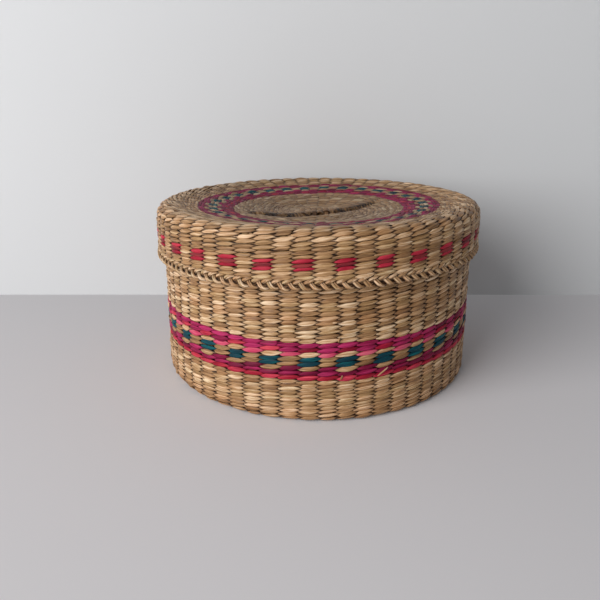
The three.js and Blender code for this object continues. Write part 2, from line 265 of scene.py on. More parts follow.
def sweep(name, strands, halfWidth, halfDepth, sides=8, twist="Z_UP"):
    # strands swept along their paths by a bevelled curve, then made one closed mesh
    outline = bpy.data.curves.new(name + "Outline", "CURVE")
    outline.dimensions = "2D"
    ring = outline.splines.new("POLY")
    ring.points.add(sides - 1)
    for i, (outwards, across) in enumerate(flatOutline(sides)):
        corner = Vector((halfDepth * outwards, halfWidth * across, 0)) * toMetres
        ring.points[i].co = (*corner, 1)
    ring.use_cyclic_u = True
    outlineObject = bpy.data.objects.new(name + "Outline", outline)
    curve = bpy.data.curves.new(name + "Curve", "CURVE")
    curve.dimensions = "3D"
    curve.twist_mode = twist
    curve.bevel_mode = "OBJECT"
    curve.bevel_object = outlineObject
    for strand in strands:
        count = len(strand["points"])
        spline = curve.splines.new("POLY")
        spline.points.add(count - 1)
        co = np.ones((count, 4), np.float32)
        co[:, :3] = strand["points"] * toMetres
        spline.points.foreach_set("co", co.ravel())
        for key in ("tilt", "radius"):
            spline.points.foreach_set(key, strand[key].astype(np.float32))
        spline.use_cyclic_u = strand["closed"]
    helper = bpy.data.objects.new(name + "Curve", curve)
    bpy.context.scene.collection.objects.link(helper)
    swept = helper.evaluated_get(bpy.context.evaluated_depsgraph_get())
    mesh = bpy.data.meshes.new_from_object(swept)
    mesh.name = name
    bpy.data.objects.remove(helper)
    bpy.data.objects.remove(outlineObject)
    writeStrandPlaces(mesh, strands, sides, halfWidth)
    closeEnds(mesh)
    piece = bpy.data.objects.new(name, mesh)
    bpy.context.scene.collection.objects.link(piece)
    return piece


def writeStrandPlaces(mesh, strands, sides, halfWidth):
    # where each vertex lies on its strand, for the materials
    across = flatOutline(sides)[:, 1]
    places, shades, dustAndShadeValues, slots = [], [], [], []
    for strand in strands:
        points = strand["points"] * toMetres
        along = np.concatenate([[0], np.cumsum(np.linalg.norm(np.diff(points, axis=0), axis=1))])
        count = len(points)
        place = np.zeros((count, sides, 3), np.float32)
        place[:, :, 0] = along[:, None]
        place[:, :, 1] = across[None, :] * halfWidth * toMetres
        place[:, :, 2] = strand["number"]
        places.append(place.reshape(-1, 3))
        shade = np.stack([strand["tone"], strand["cover"], strand["hue"]], 1)
        shades.append(np.repeat(shade, sides, axis=0))
        dustAndShadeValues.append(np.repeat(strand["dustAndShade"], sides))
        segments = count if strand["closed"] else count - 1
        slots.append(np.repeat(strand["material"][:segments], sides))
    for title, rows in (("strandPlace", places), ("strandShade", shades)):
        attribute = mesh.attributes.new(title, "FLOAT_VECTOR", "POINT")
        attribute.data.foreach_set("vector", np.concatenate(rows).astype(np.float32).ravel())
    attribute = mesh.attributes.new("strandDustAndShade", "FLOAT", "POINT")
    attribute.data.foreach_set("value", np.concatenate(dustAndShadeValues).astype(np.float32))
    mesh.polygons.foreach_set("material_index", np.concatenate(slots).astype(np.int32))


def closeEnds(mesh):
    bm = bmesh.new()
    bm.from_mesh(mesh)
    ends = [edge for edge in bm.edges if edge.is_boundary]
    if ends:
        bmesh.ops.holes_fill(bm, edges=ends, sides=0)
    bm.to_mesh(mesh)
    bm.free()


def evenStrand(points, number, tilt=0, radius=1, tone=0.5, cover=1, hue=0.3, dustAndShade=0, closed=False):
    # a strand in one material, whose values may be one number for its whole length
    even = np.zeros(len(points))
    return {
        "points": points, "number": number, "closed": closed, "material": even.astype(int),
        "tilt": tilt + even, "radius": radius + even, "tone": tone + even,
        "cover": cover + even, "hue": hue + even, "dustAndShade": dustAndShade + even,
    }


def longRuns(rng, count, low, high):
    # values that hold for a while along a strand, as one blade of grass is worked in after another
    values = np.empty(count)
    at = 0
    while at < count:
        run = int(rng.integers(low, high))
        values[at:at + run] = rng.random()
        at += run
    return values


def bandEdges(band, path):
    start = placeOn(path, **band["from"])
    end = placeOn(path, **band["to"])
    rows = np.array(band["rowHeights"], float)
    return start + (end - start) * np.concatenate([[0], np.cumsum(rows)]) / rows.sum()


def rowWave(theta, s, radius):
    # each row wanders a little up and down, less so near the middle
    share = np.clip(radius / rowWander["fullRadius"], rowWander["leastShare"], 1)
    waves = 0
    for times, rate, start, part in rowWander["waves"]:
        waves = waves + np.sin(times * theta + rate * s + start) * part
    return rowWander["far"] * share * waves


def columnSway(stakePlace, s, radius, count):
    # each column of stitches wanders a little sideways in its own way, blended between two columns
    starts = np.random.default_rng(columnWander["seed"]).uniform(0, 2 * np.pi, count)
    lower = np.floor(stakePlace).astype(int)
    upperShare = stakePlace - lower
    sway = 0
    for column, share in ((lower, 1 - upperShare), (lower + 1, upperShare)):
        start = starts[column % count]
        for rate, turns, part in columnWander["waves"]:
            sway = sway + share * np.sin(rate * s + turns * start) * part
    return sway * columnWander["far"] / np.maximum(radius, columnWander["leastRadius"])


def twinedStrand(band, path, part, which):
    # one of the two strands of a twined band: outside at even stakes (0) or at odd stakes (1)
    rng = np.random.default_rng(band["seed"] * 10 + which)
    shared = np.random.default_rng(band["seed"] * 10 + 5)
    count = band["stakes"]
    steps = band.get("steps", weave["stepsPerStake"])
    rows = len(band["rowHeights"])
    edges = bandEdges(band, path)
    edges[1:-1] += shared.uniform(-weave["rowJitter"], weave["rowJitter"], rows - 1)
    spacing = 2 * math.pi / count
    seamStake = band["seamStake"]
    middles = np.arange(rows) + 0.5
    # the strand's places along its spiral, closer together at the crossings
    turns = np.arange(rows * count * steps + 1) / (count * steps)
    stakePlace = seamStake + turns * count
    bunched = weave["bunching"] * np.sin(2 * np.pi * stakePlace) / (2 * np.pi)
    stakePlace = stakePlace + bunched
    turns = turns + bunched / count
    theta = math.radians(band["stakeAngle"]) + stakePlace * spacing
    # swing is 1 outside a stake and -1 inside one, and breadth is 1 at a stake and 0 at a tip
    phase = np.pi * (stakePlace + which)
    swing = np.cos(phase)
    cover = np.abs(swing)
    tipPast = weave["tipPast"]
    pastTip = swing + tipPast
    breadth = np.where(pastTip > 0, pastTip / (1 + tipPast), -pastTip / (1 - tipPast))
    row = np.minimum(turns.astype(int), rows - 1)
    pitch = np.interp(turns, middles, np.diff(edges))
    s = np.interp(turns, np.arange(rows + 1), edges)
    # irregular handwork, one random value for each stretch of a strand over a stake
    grain = np.round(stakePlace - seamStake + 0.5).astype(int)
    grains = grain.max() + 1
    loose = cover ** weave["heldAtCrossing"]
    crossing = np.floor(stakePlace - seamStake + 0.5).astype(int)
    uneven = shared.normal(size=grains + 1)[crossing % (grains + 1)]
    theta = theta + weave["crossingJitter"] * spacing * uneven * (1 - cover) ** 2
    widthNoise = 1 + weave["widthJitter"] * rng.normal(size=grains)[grain] * loose
    reachNoise = 1 + weave["reachJitter"] * rng.normal(size=grains)[grain]
    heightNoise = weave["heightJitter"] * rng.normal(size=grains)[grain] * loose
    rollNoise = math.radians(weave["rollJitter"]) * rng.normal(size=grains)[grain] * loose
    # the strand climbs at each crossing, wanders with its row and column, and dives in and out
    slants = np.interp(turns, middles, band.get("slants", [weave["slant"]] * rows))
    s = s + path["turn"] * slants * pitch * np.sin(phase) * np.abs(np.sin(phase)) + heightNoise
    radiusHere = np.interp(s, path["s"], path["r"])
    s = s + rowWave(theta, s, radiusHere)
    theta = theta + columnSway(stakePlace, s, radiusHere, count)
    dive = np.tanh(weave["dive"] * swing) / math.tanh(weave["dive"])
    flat = np.interp(turns, middles, np.broadcast_to(band.get("relief", 1), rows))
    reach = flat * (weave["strandReach"] * dive * reachNoise + weave["crossingOut"] * (1 - np.abs(dive)))
    radius, height, nr, nz = (np.interp(s, path["s"], path[key]) for key in ("r", "z", "nr", "nz"))
    points = pointsAt(radius + nr * reach, theta, height + nz * reach)
    # painted shade in the lid's fold, taken off the tone and the cover below
    shaded = paintedFoldShade(points, part)
    points = settle(points, part)
    pinch = band.get("pinch", weave["pinch"])
    size = (pinch + (1 - pinch) * breadth ** weave["taper"]) * widthNoise
    size = size * (weave["evenWidth"] + (1 - weave["evenWidth"]) * pitch / weave["usualRow"])
    names = band["colours"] if "colours" in band else [("natural", "natural")] * rows
    palette = sorted({name for pair in names for name in pair})
    tone = longRuns(rng, grains, *weave["toneRun"])[grain]
    tone = np.clip(tone + weave["toneJitter"] * rng.normal(size=grains)[grain], 0, 1)
    return {
        "points": points,
        "tilt": np.arctan2(-nz, nr) + rollNoise,
        "radius": size,
        # the cover paints shade into the gaps, and the fold's painted shade darkens the tone and the cover
        "tone": tone - dent["toneLoss"] * shaded,
        "cover": breadth - dent["coverLoss"] * shaded,
        "hue": longRuns(rng, grains, *weave["hueRun"])[grain],
        # dust and painted top shade where the weave faces up
        "dustAndShade": band.get("dustAndShade", 0) * smoothStep(*weave["dustAndShadeSlope"], nz),
        "number": band["seed"] * 2.0 + which,
        "material": np.array([palette.index(names[k][which]) for k in row]),
        "palette": palette,
        "closed": False,
    }


def dress(piece, part, palette, node=None):
    # a piece's materials, the body that it rides on and the CAD node that it replaces
    for colour in palette:
        piece.data.materials.append(materials[colour])
    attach(piece, part)
    if node:
        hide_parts(node)


def twinedBand(title, zones, path, part, nodes):
    # both strands of a band, each a piece of its own
    halfWidth = weave["strandFill"] * weave["usualRow"] / 2
    halfDepth = weave["strandThickness"] / 2
    for which, suffix in enumerate(("StrandA", "StrandB")):
        strands = [twinedStrand(zone, path, part, which) for zone in zones]
        sides = zones[0].get("sides", weave["sides"])
        piece = sweep(title + suffix, strands, halfWidth, halfDepth, sides)
        dress(piece, part, strands[0]["palette"], nodes[which])
    rows = sum(len(zone["rowHeights"]) for zone in zones)
    print(title, "woven,", rows, "rows,", len(piece.data.polygons), "faces a strand")


def newMaterial(name):
    material = bpy.data.materials.new(name)
    material.use_nodes = True
    tree = material.node_tree
    tree.nodes.clear()
    return material, tree


def link(tree, fromNode, fromSocket, toNode, toSocket):
    tree.links.new(fromNode.outputs[fromSocket], toNode.inputs[toSocket])


def mathNode(tree, operation, first, second=None):
    node = tree.nodes.new("ShaderNodeMath")
    node.operation = operation
    for slotIndex, value in enumerate((first, second)):
        if value is None:
            continue
        if isinstance(value, (int, float)):
            node.inputs[slotIndex].default_value = value
        else:
            tree.links.new(value, node.inputs[slotIndex])
    return node.outputs[0]


def mixColour(tree, share, first, second, mode="MIX"):
    node = tree.nodes.new("ShaderNodeMix")
    node.data_type = "RGBA"
    node.blend_type = mode
    for socket, value in ((0, share), (6, first), (7, second)):
        if isinstance(value, (int, float)):
            node.inputs[socket].default_value = value
        elif isinstance(value, tuple):
            node.inputs[socket].default_value = (*value, 1)
        else:
            tree.links.new(value, node.inputs[socket])
    return node.outputs[2]


def newGroup(name, inputs, outputs):
    # a node group whose sockets are listed as name, kind and, for an input, its usual value
    group = bpy.data.node_groups.new(name, "ShaderNodeTree")
    for title, kind, value in inputs:
        socket = group.interface.new_socket(title, in_out="INPUT", socket_type="NodeSocket" + kind)
        if value is not None:
            socket.default_value = value
    for title, kind in outputs:
        group.interface.new_socket(title, in_out="OUTPUT", socket_type="NodeSocket" + kind)
    return group, group.nodes.new("NodeGroupInput"), group.nodes.new("NodeGroupOutput")


def mapRange(tree, value, low, high, smooth=False):
    node = tree.nodes.new("ShaderNodeMapRange")
    node.interpolation_type = "SMOOTHSTEP" if smooth else "LINEAR"
    for title, end in (("Value", value), ("From Min", low), ("From Max", high)):
        if isinstance(end, (int, float)):
            node.inputs[title].default_value = end
        else:
            tree.links.new(end, node.inputs[title])
    return node.outputs["Result"]


# The noise's scales are along a strand, across it and from one strand to the next, per metre
fibreLook = {
    "Streak": {"scales": (110, 1700, 7.3), "detail": 3},
    "Patch": {"scales": (70, 330, 3.1), "detail": 2},
    "noiseRange": (0.32, 0.68), "roughnessSpread": 0.25, "bumpDistance": 0.00015, "bumpStrength": 0.6,
}


def grassFibreGroup():
    # fine streaks along a strand and slow patches, from the strand's own place
    group, start, end = newGroup(
        "grassFibre",
        [("Place", "Vector", None), ("Roughness", "Float", 0.5), ("Bump Strength", "Float", 0.5)],
        [("Streak", "Float"), ("Patch", "Float"), ("Roughness", "Float"), ("Normal", "Vector")],
    )
    results = {}
    for title in ("Streak", "Patch"):
        stretch = group.nodes.new("ShaderNodeVectorMath")
        stretch.operation = "MULTIPLY"
        stretch.inputs[1].default_value = fibreLook[title]["scales"]
        link(group, start, "Place", stretch, 0)
        noise = group.nodes.new("ShaderNodeTexNoise")
        noise.inputs["Detail"].default_value = fibreLook[title]["detail"]
        noise.inputs["Scale"].default_value = 1
        link(group, stretch, 0, noise, "Vector")
        results[title] = mapRange(group, noise.outputs["Fac"], *fibreLook["noiseRange"])
        group.links.new(results[title], end.inputs[title])
    rough = mathNode(group, "SUBTRACT", results["Streak"], 0.5)
    rough = mathNode(group, "MULTIPLY", rough, fibreLook["roughnessSpread"])
    rough = mathNode(group, "ADD", rough, start.outputs["Roughness"])
    group.links.new(rough, end.inputs["Roughness"])
    bump = group.nodes.new("ShaderNodeBump")
    bump.inputs["Distance"].default_value = fibreLook["bumpDistance"]
    link(group, start, "Bump Strength", bump, "Strength")
    group.links.new(results["Streak"], bump.inputs["Height"])
    link(group, bump, "Normal", end, "Normal")
    return group


def strandToneGroup():
    # how light a strand is, from its own tone with streaks and patches, and its other shades
    group, start, end = newGroup(
        "strandTone",
        [("Shade", "Vector", None), ("Streak", "Float", 0.5), ("Patch", "Float", 0.5),
         ("Tone Spread", "Float", 0.5), ("Streak Spread", "Float", 0.2), ("Patch Spread", "Float", 0.3)],
        [("Tone", "Float"), ("Cover", "Float"), ("Hue", "Float")],
    )
    parts = group.nodes.new("ShaderNodeSeparateXYZ")
    link(group, start, "Shade", parts, 0)
    tone = mathNode(group, "MULTIPLY", parts.outputs[0], start.outputs["Tone Spread"])
    for title in ("Streak", "Patch"):
        share = mathNode(group, "MULTIPLY", start.outputs[title], start.outputs[title + " Spread"])
        tone = mathNode(group, "ADD", tone, share)
    group.links.new(tone, end.inputs["Tone"])
    group.links.new(parts.outputs[1], end.inputs["Cover"])
    group.links.new(parts.outputs[2], end.inputs["Hue"])
    return group


# Painted shade in the gaps between strands and along their edges, and the grey of dust with painted top
# shade
shading = {
    "edgePlace": 0.0012,         # half the width of a broad strand, in metres
    "tipPoint": 0.5,             # how pointed the painted gap shade leaves a strand's tip
    "edgeFadesAt": (0.4, 0.9),   # cover at which the painted edge shade starts and stops fading
    "edgeFade": 0.75,            # share of the painted edge shade that fades away
    # the grey of dust and of painted top shade
    "dustAndShadeTint": (0.66, 0.68, 0.71),
}


def weaveShadeGroup():
    # painted shade where a strand dips between the stakes and along its two edges, and greyer where dust and
    # painted top shade lie
    group, start, end = newGroup(
        "weaveShade",
        [("Colour", "Color", None), ("Cover", "Float", 1), ("Place", "Vector", None), ("Dust And Shade", "Float", 0),
         ("Gap Shade Tint", "Color", None), ("Gap End", "Float", 0.4), ("Edge Tint", "Color", None),
         ("Dust Tint", "Color", None)],
        [("Colour", "Color")],
    )
    colour, cover = start.outputs["Colour"], start.outputs["Cover"]
    parts = group.nodes.new("ShaderNodeSeparateXYZ")
    link(group, start, "Place", parts, 0)
    across = mathNode(group, "ABSOLUTE", parts.outputs[1])
    # the painted gap shade reaches further along a strand's edges than along its middle, which points its
    # tip
    inwards = mathNode(group, "SUBTRACT", 0.5, mathNode(group, "DIVIDE", across, shading["edgePlace"]))
    pointed = mathNode(group, "ADD", cover, mathNode(group, "MULTIPLY", inwards, shading["tipPoint"]))
    clear = mapRange(group, pointed, 0.0, start.outputs["Gap End"], smooth=True)
    dark = mixColour(group, 1.0, colour, start.outputs["Gap Shade Tint"], "MULTIPLY")
    colour = mixColour(group, clear, dark, colour)
    # the painted edge shade is darkest near the gaps and fades over the stakes
    edge = mapRange(group, across, 0.5 * shading["edgePlace"], shading["edgePlace"], smooth=True)
    middle = mapRange(group, cover, *shading["edgeFadesAt"], smooth=True)
    faded = mathNode(group, "SUBTRACT", 1, mathNode(group, "MULTIPLY", middle, shading["edgeFade"]))
    edge = mathNode(group, "MULTIPLY", edge, faded)
    edged = mixColour(group, 1.0, colour, start.outputs["Edge Tint"], "MULTIPLY")
    colour = mixColour(group, edge, colour, edged)
    # dust and painted top shade grey the colour
    dustyAndShaded = mixColour(group, 1.0, colour, start.outputs["Dust Tint"], "MULTIPLY")
    group.links.new(mixColour(group, start.outputs["Dust And Shade"], colour, dustyAndShaded), end.inputs["Colour"])
    return group


def attributeOf(tree, name, output):
    node = tree.nodes.new("ShaderNodeAttribute")
    node.attribute_name = name
    return node.outputs[output]


def useGroup(tree, group, values):
    node = tree.nodes.new("ShaderNodeGroup")
    node.node_tree = group
    for title, value in values.items():
        if isinstance(value, (int, float)):
            node.inputs[title].default_value = value
        elif isinstance(value, tuple):
            node.inputs[title].default_value = (*value, 1)
        else:
            tree.links.new(value, node.inputs[title])
    return node.outputs


def colourRamp(tree, value, stops):
    ramp = tree.nodes.new("ShaderNodeValToRGB")
    tree.links.new(value, ramp.inputs[0])
    while len(ramp.color_ramp.elements) < len(stops):
        ramp.color_ramp.elements.new(0.5)
    for element, (position, colour) in zip(ramp.color_ramp.elements, stops):
        element.position = position
        element.color = (*colour, 1)
    return ramp.outputs[0]


def strandMaterial(name, look, groups):
    material, tree = newMaterial(name)
    output = tree.nodes.new("ShaderNodeOutputMaterial")
    shader = tree.nodes.new("ShaderNodeBsdfPrincipled")
    link(tree, shader, 0, output, 0)
    place = attributeOf(tree, "strandPlace", "Vector")
    fibre = useGroup(tree, groups["fibre"], {
        "Place": place, "Roughness": look["roughness"], "Bump Strength": fibreLook["bumpStrength"],
    })
    tone = useGroup(tree, groups["tone"], {
        "Shade": attributeOf(tree, "strandShade", "Vector"),
        "Streak": fibre["Streak"], "Patch": fibre["Patch"], "Tone Spread": look["toneSpread"],
        "Streak Spread": look["streakSpread"], "Patch Spread": look["patchSpread"],
    })
    colour = colourRamp(tree, tone["Tone"], look["colours"])
    if "tints" in look:
        colour = mixColour(tree, 1.0, colour, colourRamp(tree, tone["Hue"], look["tints"]), "MULTIPLY")
    shaded = useGroup(tree, groups["shade"], {
        "Colour": colour, "Cover": tone["Cover"], "Place": place,
        "Dust And Shade": attributeOf(tree, "strandDustAndShade", "Fac"), "Dust Tint": shading["dustAndShadeTint"],
        "Gap Shade Tint": look["gapShadeTint"], "Gap End": look["gapEnd"], "Edge Tint": look["edgeShadeTint"],
    })
    tree.links.new(shaded["Colour"], shader.inputs["Base Color"])
    tree.links.new(fibre["Roughness"], shader.inputs["Roughness"])
    tree.links.new(fibre["Normal"], shader.inputs["Normal"])
    shader.inputs["Specular IOR Level"].default_value = look["specular"]
    return material


def fromSrgb(red, green, blue):
    # colours are written as a screen shows them, 0 to 255
    values = [channel / 255 for channel in (red, green, blue)]
    return tuple(v / 12.92 if v <= 0.04045 else ((v + 0.055) / 1.055) ** 2.4 for v in values)


def evenShades(*colours):
    # colours at even steps of tone
    return [(i / (len(colours) - 1), fromSrgb(*colour)) for i, colour in enumerate(colours)]


# Colours run from the darkest tone to the lightest, and tints multiply them along a strand's hue. The gap
# and edge tints are painted shade
dyed = {
    "toneSpread": 0.45, "streakSpread": 0.4, "patchSpread": 0.3, "gapShadeTint": (0.22, 0.14, 0.16),
    "gapEnd": 0.4, "edgeShadeTint": (0.55, 0.5, 0.5), "roughness": 0.55, "specular": 0.2,
}
strandLooks = {
    "natural": {
        "colours": [
            (0.0, fromSrgb(80, 50, 25)), (0.35, fromSrgb(142, 104, 66)),
            (0.65, fromSrgb(185, 144, 101)), (1.0, fromSrgb(243, 214, 180)),
        ],
        "tints": [
            (0.0, (0.95, 0.98, 0.90)), (0.3, (1, 1, 1)), (0.7, (1, 0.98, 0.95)), (1.0, (1, 0.92, 0.86)),
        ],
        "toneSpread": 0.44, "streakSpread": 0.5, "patchSpread": 0.2, "gapShadeTint": (0.1, 0.06, 0.036),
        "gapEnd": 0.62, "edgeShadeTint": (0.7, 0.59, 0.49), "roughness": 0.5, "specular": 0.4,
    },
    "magenta": {**dyed, "colours": evenShades((56, 0, 24), (126, 6, 54), (192, 48, 104))},
    "redPink": {**dyed, "colours": evenShades((96, 2, 28), (158, 14, 48), (224, 80, 96))},
    "pink": {**dyed, "colours": evenShades((140, 14, 60), (190, 42, 86), (220, 112, 128))},
    "red": {**dyed, "colours": evenShades((100, 4, 24), (152, 16, 42), (204, 58, 76))},
    "maroon": {**dyed, "colours": evenShades((56, 6, 16), (102, 18, 32), (148, 54, 54))},
    "teal": {
        **dyed, "colours": evenShades((0, 20, 32), (0, 58, 70), (8, 122, 122)),
        "gapShadeTint": (0.15, 0.2, 0.3), "edgeShadeTint": (0.5, 0.5, 0.56),
    },
    "stake": {
        "colours": evenShades((96, 72, 44), (160, 128, 86)),
        "toneSpread": 0.5, "streakSpread": 0.3, "patchSpread": 0.3, "gapShadeTint": (0.8, 0.6, 0.42),
        "gapEnd": 0.4, "edgeShadeTint": (0.6, 0.5, 0.4), "roughness": 0.6, "specular": 0.4,
    },
}
groups = {"fibre": grassFibreGroup(), "tone": strandToneGroup(), "shade": weaveShadeGroup()}
materials = {name: strandMaterial(name + "Straw", look, groups) for name, look in strandLooks.items()}
print("materials made:", ", ".join(materials))

# Each band starts and ends at the back, between two stakes
bodyStakes = {"stakes": 58, "stakeAngle": -143.5, "seamStake": 37.5}
lidStakes = {"stakes": 60, "stakeAngle": -155.3, "seamStake": 40.5}


def fewerStakes(stakes, count):
    # the stakes of an inner zone, set so that both zones share the seam
    seam = stakes["stakeAngle"] + 360 * stakes["seamStake"] / stakes["stakes"]
    place = 0.5 + (stakes["seamStake"] - 0.5) % 2
    return {"stakes": count, "stakeAngle": seam - 360 * place / count, "seamStake": place}


# The base doesn't show much, so its strands have fewer steps and sides
baseDetail = {"steps": 4, "sides": 6}
baseZones = [
    {**fewerStakes(bodyStakes, 14), **baseDetail, "seed": 10, "from": {"radius": 9.5}, "to": {"radius": 19},
     "rowHeights": [1.9] * 5},
    {**fewerStakes(bodyStakes, 28), **baseDetail, "seed": 11, "from": {"radius": 19}, "to": {"radius": 40},
     "rowHeights": [2.1] * 10},
    {**bodyStakes, **baseDetail, "seed": 12, "from": {"radius": 40}, "to": {"radius": 76.04},
     "rowHeights": [2.1] * 17},
]
lowerWall = {
    **bodyStakes, "seed": 13, "from": {"radius": 76.04}, "to": {"height": 22.1},
    "rowHeights": [2.0] * 15,
}
lowerMagenta = {
    **bodyStakes, "seed": 14, "from": {"height": 22.1}, "to": {"height": 29.3},
    "rowHeights": [2.4] * 3,
    "colours": [("redPink", "red"), ("magenta", "magenta"), ("natural", "magenta")],
}
bodyCheck = {
    **bodyStakes, "seed": 15, "from": {"height": 29.3}, "to": {"height": 34.2},
    "rowHeights": [2.45] * 2, "colours": [("teal", "natural")] * 2,
}
upperMagenta = {
    **bodyStakes, "seed": 16, "from": {"height": 34.2}, "to": {"height": 41.4},
    "rowHeights": [2.4] * 3,
    "colours": [("natural", "pink"), ("redPink", "magenta"), ("magenta", "magenta")],
}
upperWall = {
    **bodyStakes, "seed": 17, "from": {"height": 41.4}, "to": {"height": 85.8},
    "rowHeights": np.linspace(2.1, 1.95, 22),
}

# The lid is woven flatter in its dish than down its skirt, and dust with painted top shade greys the dish
dish = {"dustAndShade": 1.15, "relief": 0.25}
centreZones = [
    {**fewerStakes(lidStakes, 14), **dish, "seed": 20, "from": {"radius": 9.5}, "to": {"radius": 19},
     "rowHeights": [1.9] * 5, "pinch": 0.8},
    {**fewerStakes(lidStakes, 30), **dish, "seed": 21, "from": {"radius": 19}, "to": {"radius": 38},
     "rowHeights": [2.1] * 9, "pinch": 0.75},
    {**lidStakes, **dish, "seed": 22, "from": {"radius": 38}, "to": {"radius": 47.2},
     "rowHeights": [1.85] * 5, "pinch": 0.75},
]
innerRing = {
    **lidStakes, "seed": 23, "from": {"radius": 47.2}, "to": {"radius": 54},
    "rowHeights": [2.27] * 3, "relief": 0.25, "pinch": 0.75, "dustAndShade": 1,
    "colours": [("magenta", "magenta"), ("redPink", "magenta"), ("magenta", "magenta")],
}
lidCheck = {
    **lidStakes, "seed": 24, "from": {"radius": 54}, "to": {"radius": 63.2},
    "rowHeights": [2.3] * 4, "relief": 0.4, "pinch": 0.55, "dustAndShade": 1,
    "colours": [("natural", "magenta"), ("teal", "natural"), ("teal", "natural"), ("natural", "magenta")],
}
outerRing = {
    **lidStakes, "seed": 25, "from": {"radius": 63.2}, "to": {"radius": 66.6},
    "rowHeights": [1.7] * 2, "relief": 0.3, "pinch": 0.7, "dustAndShade": 0.8,
    "colours": [("magenta", "magenta")] * 2,
}
shoulder = {
    **lidStakes, "seed": 26, "from": {"radius": 66.6}, "to": {"height": 80.9},
    "rowHeights": [2.1] * 5 + [2.6, 2.9, 2.8, 2.4, 2.2, 2.1, 1.9, 1.8, 1.8, 1.8],
    "relief": [0.3, 0.3, 0.3, 0.35, 0.4, 0.5, 0.6, 0.75, 0.9, 1, 1, 1, 1, 1, 1],
    "slants": [0.26, 0.3, 0.34, 0.4, 0.46, 0.5, 0.5, 0.46, 0.4, 0.34, 0.3, 0.27, 0.24, 0.23, 0.23],
    "pinch": 0.48, "dustAndShade": 0.35,
}
skirtCheck = {
    **lidStakes, "seed": 27, "from": {"height": 80.9}, "to": {"height": 75.4},
    "rowHeights": [1.83] * 3,
    "colours": [("red", "natural"), ("maroon", "natural"), ("red", "natural")],
}
lowerSkirt = {
    **lidStakes, "seed": 28, "from": {"height": 75.4}, "to": {"height": 71.4},
    "rowHeights": [2.0] * 2,
}


def weaversOf(family):
    return family + "_weaver_outside", family + "_weaver_inside"


def checksOf(family, colour):
    return family + "_" + colour + "_weaver", family + "_straw_weaver"


plain, pinks = ("natural_straw", "natural_straw"), ("magenta_straw", "magenta_straw")
teals, reds = ("teal_straw", "natural_straw"), ("red_straw", "natural_straw")
for title, zones, nodes, slots in (
    ("baseWeave", baseZones, weaversOf("base"), plain),
    ("lowerWall", [lowerWall], weaversOf("lower_wall"), plain),
    ("lowerMagenta", [lowerMagenta], weaversOf("lower_magenta"), pinks),
    ("upperMagenta", [upperMagenta], weaversOf("upper_magenta"), pinks),
    ("upperWall", [upperWall], weaversOf("upper_wall"), plain),
    ("bodyCheck", [bodyCheck], checksOf("body_check", "teal"), teals),
):
    twinedBand(title, zones, bodyPath, "basket_body", nodes)
for title, zones, nodes, slots in (
    ("lidCentre", centreZones, weaversOf("lid_center"), plain),
    ("innerRing", [innerRing], weaversOf("lid_inner_ring"), pinks),
    ("outerRing", [outerRing], weaversOf("lid_outer_ring"), pinks),
    ("shoulder", [shoulder], weaversOf("lid_shoulder"), plain),
    ("lowerSkirt", [lowerSkirt], weaversOf("lid_lower_skirt"), plain),
    ("lidCheck", [lidCheck], checksOf("lid_check", "teal"), teals),
    ("skirtCheck", [skirtCheck], checksOf("skirt_check", "red"), reds),
):
    twinedBand(title, zones, lidPath, "lid", nodes)

# The crossed stems in the middle of the base and of the lid
knot = {
    "stems": 6, "spacing": 3.3, "halfWidth": 1.45, "halfThickness": 0.4, "reach": 12.5,
    "lift": 0.42, "flatness": 1.6,   # how far a stem passes over or under, and how level it stays there
    "steps": 25,
}


def crossedStems(name, path, part, seed):
    rng = np.random.default_rng(seed)
    stems = knot["stems"]
    middle = (stems - 1) / 2
    strands = []
    for way in range(2):
        for i in range(stems):
            side = (i - middle) * knot["spacing"]
            half = math.sqrt(knot["reach"] ** 2 - side ** 2)
            along = np.linspace(-half, half, knot["steps"])
            wave = np.cos(np.pi * (along / knot["spacing"] + middle + i + way))
            height = path["z"][0] + knot["lift"] * np.clip(knot["flatness"] * wave, -1, 1)
            across = np.full(knot["steps"], side)
            points = np.stack([along, across, height] if way == 0 else [across, along, height], 1)
            # painted shade in the lid's fold, taken off the tone and the cover below
            shaded = paintedFoldShade(points, part)
            strands.append(evenStrand(
                settle(points, part), seed + i + (stems + 1.0) * way, tilt=math.pi / 2,
                tone=rng.random() - dent["toneLoss"] * shaded, cover=1 - dent["coverLoss"] * shaded,
                # dust and painted top shade on the lid's knot
                hue=rng.random(), dustAndShade=1 if part == "lid" else 0,
            ))
    piece = sweep(name, strands, knot["halfWidth"], knot["halfThickness"])
    dress(piece, part, ["natural"])
    print(name, "crossed,", len(strands), "stems")


crossedStems("baseKnot", bodyPath, "basket_body", 41)
crossedStems("lidKnot", lidPath, "lid", 61)

# The plaited edges of the lid and of the mouth
plaitBlades = {
    "periods": 38, "halfWidth": 0.7, "halfThickness": 0.42, "stepsPerPeriod": 16, "climbJitter": 0.06,
    "toneFrom": 0.5, "toneSpread": 0.6, "toneRun": (2, 9), "hueRun": (6, 30),   # runs in half periods
    "coverFrom": -0.22, "coverSpread": 0.55, "coverRise": (-1, 0.1),            # painted shade where a blade dips in
}
rimPlait = {
    **plaitBlades, "seed": 31, "radius": 87.7, "height": 69.8,
    "above": 1.5, "below": 2.8, "halfDepth": 0.9, "flare": 0.15, "pairShift": 0.22,
    "core": 1.8, "coreIn": 0.7, "coreDown": 0.5,   # core is its width, in blades
}
mouthPlait = {
    **plaitBlades, "seed": 32, "radius": 83.35, "height": 87.65,
    "above": 1.05, "below": 1.05, "halfDepth": 0.75, "flare": 0, "pairShift": 0.24,
    "core": 1.2, "coreIn": 0.3, "coreDown": 0.1,
}


